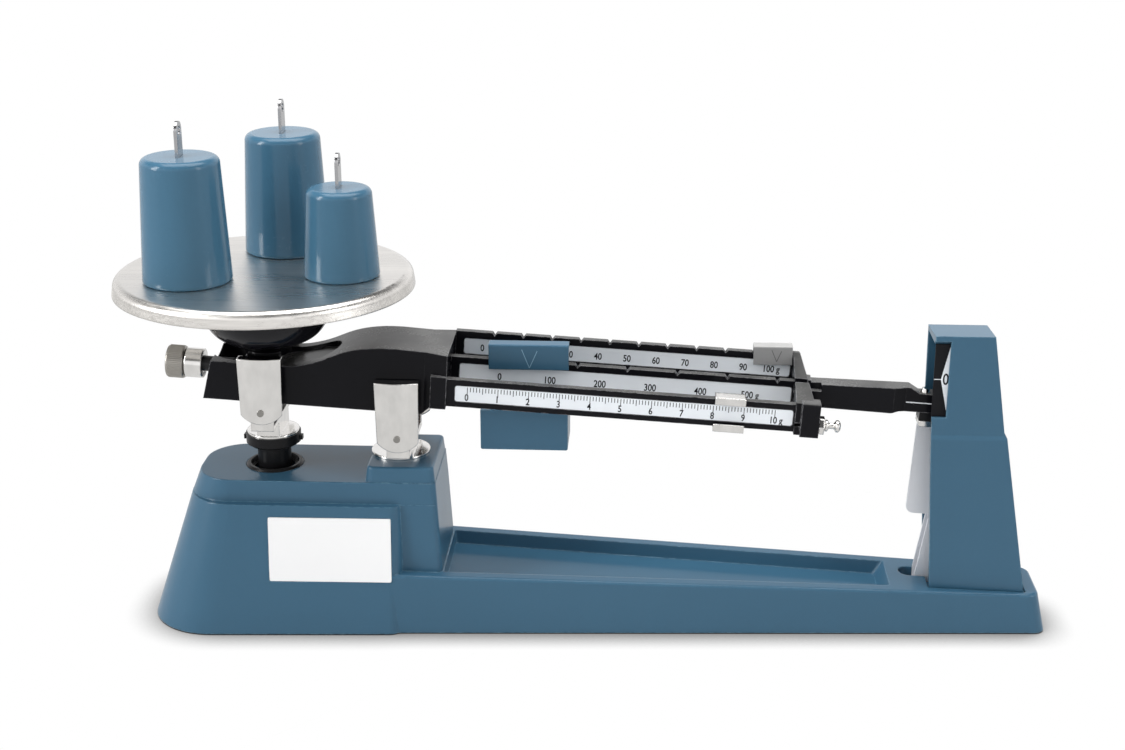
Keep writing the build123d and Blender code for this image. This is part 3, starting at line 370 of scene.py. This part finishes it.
def text_parts(words, matrix, tall, squeeze):
    """Text as a thin mesh: words is a list of (string, x, y) in millimetres on the face."""
    found = []
    for string, x, y in words:
        curve = bpy.data.curves.new("words", "FONT")
        curve.body = string
        curve.size = tall / CAP_HEIGHT * MM
        curve.align_x = "CENTER"
        curve.align_y = "CENTER"
        curve.resolution_u = 4
        curve.extrude = 0.00001
        curve.offset = STROKE_GAIN * MM
        obj = bpy.data.objects.new("words", curve)
        bpy.context.scene.collection.objects.link(obj)
        bpy.context.view_layer.update()
        mesh = bpy.data.meshes.new_from_object(obj.evaluated_get(bpy.context.evaluated_depsgraph_get()))
        place = matrix @ Matrix.Translation((x * MM, y * MM, 0.00001))
        place = place @ Matrix.Diagonal((squeeze, 1, 1, 1))
        found.append(([place @ v.co for v in mesh.vertices], [list(p.vertices) for p in mesh.polygons]))
        bpy.data.objects.remove(obj)
        bpy.data.curves.remove(curve)
        bpy.data.meshes.remove(mesh)
    return found


# Each rail: its front face's y, its plate's low edge, and its numerals' height above that edge
REAR, CENTRE, FRONT = (18.0, 14.3, 3.3), (-2.0, 7.2, 2.3), (-22.0, 2.0, 2.15)


def numerals(name, row, words, tall):
    """The numerals of one plate; words are (string, distance along the beam)."""
    face, low, up = row
    matrix = beam_matrix(0, face + PLATE_INSET, 0)
    parts = text_parts([(w, x, low + up) for w, x in words], matrix, tall, 0.80)
    piece = collect(name, parts, print_dark, "beam")


numerals("rear_numerals", REAR,
         [(str(10 * i), 38.5 + 15.09 * i) for i in range(10)] + [("100 g", 38.5 + 150.9 - 0.6)], 3.5)
numerals("centre_numerals", CENTRE,
         [(str(100 * i), 49.6 + 25.68 * i) for i in range(5)] + [("500 g", 49.6 + 128.4 - 0.4)], 3.6)
numerals("front_numerals", FRONT,
         [(str(i), 34.9 + 15.425 * i) for i in range(10)] + [("10 g", 34.9 + 154.25 + 1.0)], 3.4)


def ticks_tree():
    """Geometry nodes: a row of printed strokes, longer at every fifth and tenth."""
    tree = bpy.data.node_groups.new("scale_strokes", "GeometryNodeTree")
    for title, kind, value in (
            ("Count", "Int", 101), ("Step", "Float", 0.0015), ("Short", "Float", 0.002),
            ("Medium", "Float", 0.003), ("Long", "Float", 0.004), ("Width", "Float", 0.0002),
            ("Thick", "Float", 0.00002), ("Material", "Material", None)):
        made = tree.interface.new_socket(name=title, in_out="INPUT", socket_type="NodeSocket" + kind)
        if value is not None:
            made.default_value = value
    tree.interface.new_socket(name="Geometry", in_out="OUTPUT", socket_type="NodeSocketGeometry")
    new, link = tree.nodes.new, tree.links.new
    gin, gout = new("NodeGroupInput"), new("NodeGroupOutput")
    gap = new("ShaderNodeCombineXYZ")
    link(gin.outputs["Step"], gap.inputs[0])
    line = new("GeometryNodeMeshLine")
    link(gin.outputs["Count"], line.inputs["Count"])
    link(gap.outputs[0], line.inputs["Offset"])
    stroke = new("GeometryNodeMeshCube")
    stroke.inputs["Size"].default_value = (1, 1, 1)
    down = new("GeometryNodeTransform")
    down.inputs["Translation"].default_value = (0, -0.5, 0.5)
    link(stroke.outputs["Mesh"], down.inputs["Geometry"])
    index = new("GeometryNodeInputIndex")
    lengths = gin.outputs["Short"]
    for every, title in ((5, "Medium"), (10, "Long")):
        rest = new("ShaderNodeMath")
        rest.operation = "MODULO"
        rest.inputs[1].default_value = every
        link(index.outputs[0], rest.inputs[0])
        is_one = new("FunctionNodeCompare")
        is_one.data_type = "FLOAT"
        is_one.operation = "LESS_THAN"
        is_one.inputs[1].default_value = 0.5
        link(rest.outputs[0], is_one.inputs[0])
        pick = new("GeometryNodeSwitch")
        pick.input_type = "FLOAT"
        link(is_one.outputs[0], pick.inputs["Switch"])
        link(lengths, pick.inputs["False"])
        link(gin.outputs[title], pick.inputs["True"])
        lengths = pick.outputs[0]
    size = new("ShaderNodeCombineXYZ")
    link(gin.outputs["Width"], size.inputs[0])
    link(lengths, size.inputs[1])
    link(gin.outputs["Thick"], size.inputs[2])
    inst = new("GeometryNodeInstanceOnPoints")
    link(line.outputs[0], inst.inputs["Points"])
    link(down.outputs[0], inst.inputs["Instance"])
    link(size.outputs[0], inst.inputs["Scale"])
    real = new("GeometryNodeRealizeInstances")
    link(inst.outputs[0], real.inputs[0])
    paint = new("GeometryNodeSetMaterial")
    link(real.outputs[0], paint.inputs[0])
    link(gin.outputs["Material"], paint.inputs["Material"])
    link(paint.outputs[0], gout.inputs[0])
    return tree


def ring_tree():
    """Geometry nodes: equal ridges round an axis, for a knurl."""
    tree = bpy.data.node_groups.new("knurl_ridges", "GeometryNodeTree")
    for title, kind, value in (
            ("Count", "Int", 60), ("Radius", "Float", 0.008), ("Length", "Float", 0.008),
            ("Ridge", "Float", 0.0003), ("Material", "Material", None)):
        made = tree.interface.new_socket(name=title, in_out="INPUT", socket_type="NodeSocket" + kind)
        if value is not None:
            made.default_value = value
    tree.interface.new_socket(name="Geometry", in_out="OUTPUT", socket_type="NodeSocketGeometry")
    new, link = tree.nodes.new, tree.links.new
    gin, gout = new("NodeGroupInput"), new("NodeGroupOutput")
    circle = new("GeometryNodeMeshCircle")
    link(gin.outputs["Count"], circle.inputs["Vertices"])
    link(gin.outputs["Radius"], circle.inputs["Radius"])
    ridge = new("GeometryNodeMeshCylinder")
    ridge.inputs["Vertices"].default_value = 6
    link(gin.outputs["Ridge"], ridge.inputs["Radius"])
    link(gin.outputs["Length"], ridge.inputs["Depth"])
    inst = new("GeometryNodeInstanceOnPoints")
    link(circle.outputs[0], inst.inputs["Points"])
    link(ridge.outputs["Mesh"], inst.inputs["Instance"])
    real = new("GeometryNodeRealizeInstances")
    link(inst.outputs[0], real.inputs[0])
    paint = new("GeometryNodeSetMaterial")
    link(real.outputs[0], paint.inputs[0])
    link(gin.outputs["Material"], paint.inputs["Material"])
    link(paint.outputs[0], gout.inputs[0])
    return tree


def grown(name, tree, settings, matrix, mat, body):
    """Evaluates a geometry nodes tree once and keeps its mesh, moved to its place, as a piece."""
    mesh = bpy.data.meshes.new(name + "_seed")
    obj = bpy.data.objects.new(name + "_seed", mesh)
    bpy.context.scene.collection.objects.link(obj)
    mod = obj.modifiers.new("grow", "NODES")
    mod.node_group = tree
    for item in tree.interface.items_tree:
        if item.in_out == "INPUT" and item.name in settings:
            mod[item.identifier] = settings[item.name]
    bpy.context.view_layer.update()
    made = bpy.data.meshes.new_from_object(obj.evaluated_get(bpy.context.evaluated_depsgraph_get()))
    obj.modifiers.clear()
    bpy.data.objects.remove(obj)
    made.name = name
    made.transform(matrix)
    return finished(name, made, mat, body)


strokes = grown("front_strokes", ticks_tree(), {
    "Count": 101, "Step": 1.5425 * MM, "Short": 2.3 * MM, "Medium": 3.1 * MM, "Long": 4.1 * MM,
    "Width": 0.34 * MM, "Thick": 0.02 * MM, "Material": print_dark},
    beam_matrix(35.2, FRONT[0] + PLATE_INSET, FRONT[1] + 7.65), print_dark, "beam")

knob_axis = Matrix(((0, 0, COS, 0), (0, 1, 0, 0), (-1, 0, -SIN, 0), (0, 0, 0, 1)))
knob_z = Vector((COS, 0, -SIN))
knob_x = Vector((SIN, 0, COS))
knob_y = knob_z.cross(knob_x)
knob_matrix = Matrix((
    (knob_x.x, knob_y.x, knob_z.x, 0), (knob_x.y, knob_y.y, knob_z.y, 0),
    (knob_x.z, knob_y.z, knob_z.z, 0), (0, 0, 0, 1)))
knob_matrix.translation = beam_point(-122.0 + 4.65, 0, 4.6)
knurl = grown("knob_knurl", ring_tree(), {
    "Count": 56, "Radius": 8.22 * MM, "Length": 7.4 * MM, "Ridge": 0.30 * MM,
    "Material": mats["nickel_satin"]}, knob_matrix, mats["nickel_satin"], "zero_knob")

# The zero wedge, its line and its numeral on the index plate, and the line on the pointer
wedge = [(169.9, 136.7), (174.2, 117.4), (175.2, 117.4), (175.2, 155.2), (173.9, 155.2)]
face = front_matrix(0, INDEX_FACE_Y, 0)
marks = collect("index_wedge", [
    plate_prism(wedge, face, 0.03),
    plate_prism([(166.5, 136.5), (169.95, 136.5), (169.95, 136.9), (166.5, 136.9)], face, 0.03)],
    print_white, "base")
nought_face = front_matrix(0, INDEX_FACE_Y - 0.04, 0)
nought = collect("index_nought", text_parts([("0", 172.35, 136.5)], nought_face, 5.8, 0.74),
                 print_dark, "base")
pointer_line = collect("pointer_line", [plate_prism(
    [(256.4, 12.3), (272.6, 12.3), (272.6, 12.9), (256.4, 12.9)], beam_matrix(0, TIP_FACE_Y, 0), 0.04)],
    print_white, "beam")


def arrow(name, left, right, low, y, mat, body):
    """A pressed index arrow: two strokes that meet at the bottom, standing a hair proud."""
    parts = []
    for a, b in ((left, low), (low, right)):
        direction = Vector((b[0] - a[0], b[1] - a[1])).normalized()
        side = Vector((-direction.y, direction.x)) * 0.17
        strip = [(a[0] - side.x, a[1] - side.y), (b[0] - side.x, b[1] - side.y),
                 (b[0] + side.x, b[1] + side.y), (a[0] + side.x, a[1] + side.y)]
        parts.append(plate_prism(strip, front_matrix(0, y, 0), 0.06))
    return collect(name, parts, mat, body)


arrow("centre_poise_arrow", (-40.3, 146.3), (-32.4, 145.6), (-36.4, 136.5), CENTRE_FLAP_Y,
              mark_pale, "centre_poise")
arrow("rear_poise_arrow", (87.5, 141.4), (92.5, 140.9), (90.1, 135.2), REAR_FLAP_Y,
              mark_dark, "rear_poise")

# LIGHT, FLOOR AND CAMERA

scene = bpy.context.scene
scene.view_settings.view_transform = "Standard"


def area(name, size, place, aim, watts):
    """A rectangular softbox that looks at a point."""
    lamp = bpy.data.lights.new(name, "AREA")
    lamp.shape = "RECTANGLE"
    lamp.size, lamp.size_y = size
    lamp.energy = watts
    obj = bpy.data.objects.new(name, lamp)
    scene.collection.objects.link(obj)
    obj.location = place
    obj.rotation_euler = (Vector(aim) - Vector(place)).to_track_quat("-Z", "Y").to_euler()
    return obj


area("overhead_softbox", (1.6, 1.1), (0.0, 0.1, 1.5), (0, 0, 0.1), 24)
area("left_softbox", (0.35, 1.0), (-1.25, -0.55, 0.70), (-0.05, 0, 0.12), 12)
area("right_softbox", (0.4, 1.0), (1.3, -0.6, 0.6), (0.05, 0, 0.12), 4.5)

world = bpy.data.worlds.new("studio")
scene.world = world
world.use_nodes = True
wt = world.node_tree
path = wt.nodes.new("ShaderNodeLightPath")
coord = wt.nodes.new("ShaderNodeTexCoord")
split = wt.nodes.new("ShaderNodeSeparateXYZ")
wt.links.new(coord.outputs["Generated"], split.inputs[0])


def sky(stops, strength):
    """A background whose brightness depends on the height above the horizon."""
    ramp = wt.nodes.new("ShaderNodeValToRGB")
    points = ramp.color_ramp.elements
    for i, (place, grey) in enumerate(stops):
        point = points[i] if i < 2 else points.new(place)
        point.position = place
        point.color = (grey, grey, grey * 1.01, 1)
    wt.links.new(split.outputs[2], ramp.inputs[0])
    shade = wt.nodes.new("ShaderNodeBackground")
    wt.links.new(ramp.outputs[0], shade.inputs["Color"])
    shade.inputs["Strength"].default_value = strength
    return shade.outputs[0]


# What lights the part, what its bright surfaces mirror (white low down, dark above), and what is seen
lights_it = sky([(0.0, 0.20), (1.0, 1.0), (0.35, 0.45)], 0.55)
mirrored_sky = sky([(0.0, 0.99), (1.0, 0.10), (0.40, 0.99), (0.54, 0.10)], 1.0)
white = wt.nodes.new("ShaderNodeBackground")
mirror_pick = wt.nodes.new("ShaderNodeMixShader")
view_pick = wt.nodes.new("ShaderNodeMixShader")
white.inputs["Color"].default_value = (1, 1, 1, 1)
mirror_ray = math_node(wt, "ADD", path.outputs["Is Glossy Ray"], path.outputs["Is Transmission Ray"],
                       clamp=True)
wt.links.new(mirror_ray, mirror_pick.inputs[0])
wt.links.new(lights_it, mirror_pick.inputs[1])
wt.links.new(mirrored_sky, mirror_pick.inputs[2])
wt.links.new(path.outputs["Is Camera Ray"], view_pick.inputs[0])
wt.links.new(mirror_pick.outputs[0], view_pick.inputs[1])
wt.links.new(white.outputs[0], view_pick.inputs[2])
wt.links.new(view_pick.outputs[0], wt.nodes["World Output"].inputs["Surface"])

floor_mesh = bpy.data.meshes.new("floor")
floor_mesh.from_pydata([(-9, -9, 0), (9, -9, 0), (9, 9, 0), (-9, 9, 0)], [], [[0, 1, 2, 3]])
floor = bpy.data.objects.new("floor", floor_mesh)
scene.collection.objects.link(floor)
floor_mat = bpy.data.materials.new("studio_floor")
floor_mat.use_nodes = True
ft = floor_mat.node_tree
ft.nodes.remove(ft.nodes["Principled BSDF"])
fout = ft.nodes["Material Output"]
# The floor shows the camera only its contact shadow: white away from the part, darker beside it
near_dark = ft.nodes.new("ShaderNodeAmbientOcclusion")
near_dark.inputs["Distance"].default_value = 0.018
near_dark.samples = 12
shadow = math_node(ft, "SUBTRACT", 1.0, math_node(ft, "POWER", near_dark.outputs["AO"], 1.8))
glow = ft.nodes.new("ShaderNodeEmission")
glow.inputs["Color"].default_value = (1, 1, 1, 1)
ray = ft.nodes.new("ShaderNodeLightPath")
mirrored = math_node(ft, "ADD", ray.outputs["Is Glossy Ray"], ray.outputs["Is Transmission Ray"])
unlit = math_node(ft, "MULTIPLY", shadow, ray.outputs["Is Camera Ray"])
dimmed = math_node(ft, "MULTIPLY", mirrored, 0.28)
shown = math_node(ft, "SUBTRACT", math_node(ft, "SUBTRACT", 1.0, unlit), dimmed)
ft.links.new(shown, glow.inputs["Strength"])
diffuse = ft.nodes.new("ShaderNodeBsdfDiffuse")
diffuse.inputs["Color"].default_value = (0.80, 0.80, 0.80, 1)
seen = ft.nodes.new("ShaderNodeMixShader")
in_view = math_node(ft, "ADD", ray.outputs["Is Camera Ray"], mirrored, clamp=True)
ft.links.new(in_view, seen.inputs[0])
ft.links.new(diffuse.outputs[0], seen.inputs[1])
ft.links.new(glow.outputs[0], seen.inputs[2])
ft.links.new(seen.outputs[0], fout.inputs["Surface"])
floor_mesh.materials.append(floor_mat)

# The photograph's view: millimetres in the drawing's frame, degrees
CAMERA_AT = (25.0, -854.0, 426.0)
CAMERA_PITCH, CAMERA_YAW = 71, 3
lens = bpy.data.cameras.new("photo_camera")
lens.sensor_width = 36
lens.lens = 56.576
lens.clip_start = 0.01
lens.clip_end = 60
camera = bpy.data.objects.new("photo_camera", lens)
scene.collection.objects.link(camera)
camera.location = ((CAMERA_AT[0] + SHIFT) * MM, CAMERA_AT[1] * MM, CAMERA_AT[2] * MM)
camera.rotation_euler = (math.radians(CAMERA_PITCH), 0, math.radians(CAMERA_YAW))
scene.camera = camera
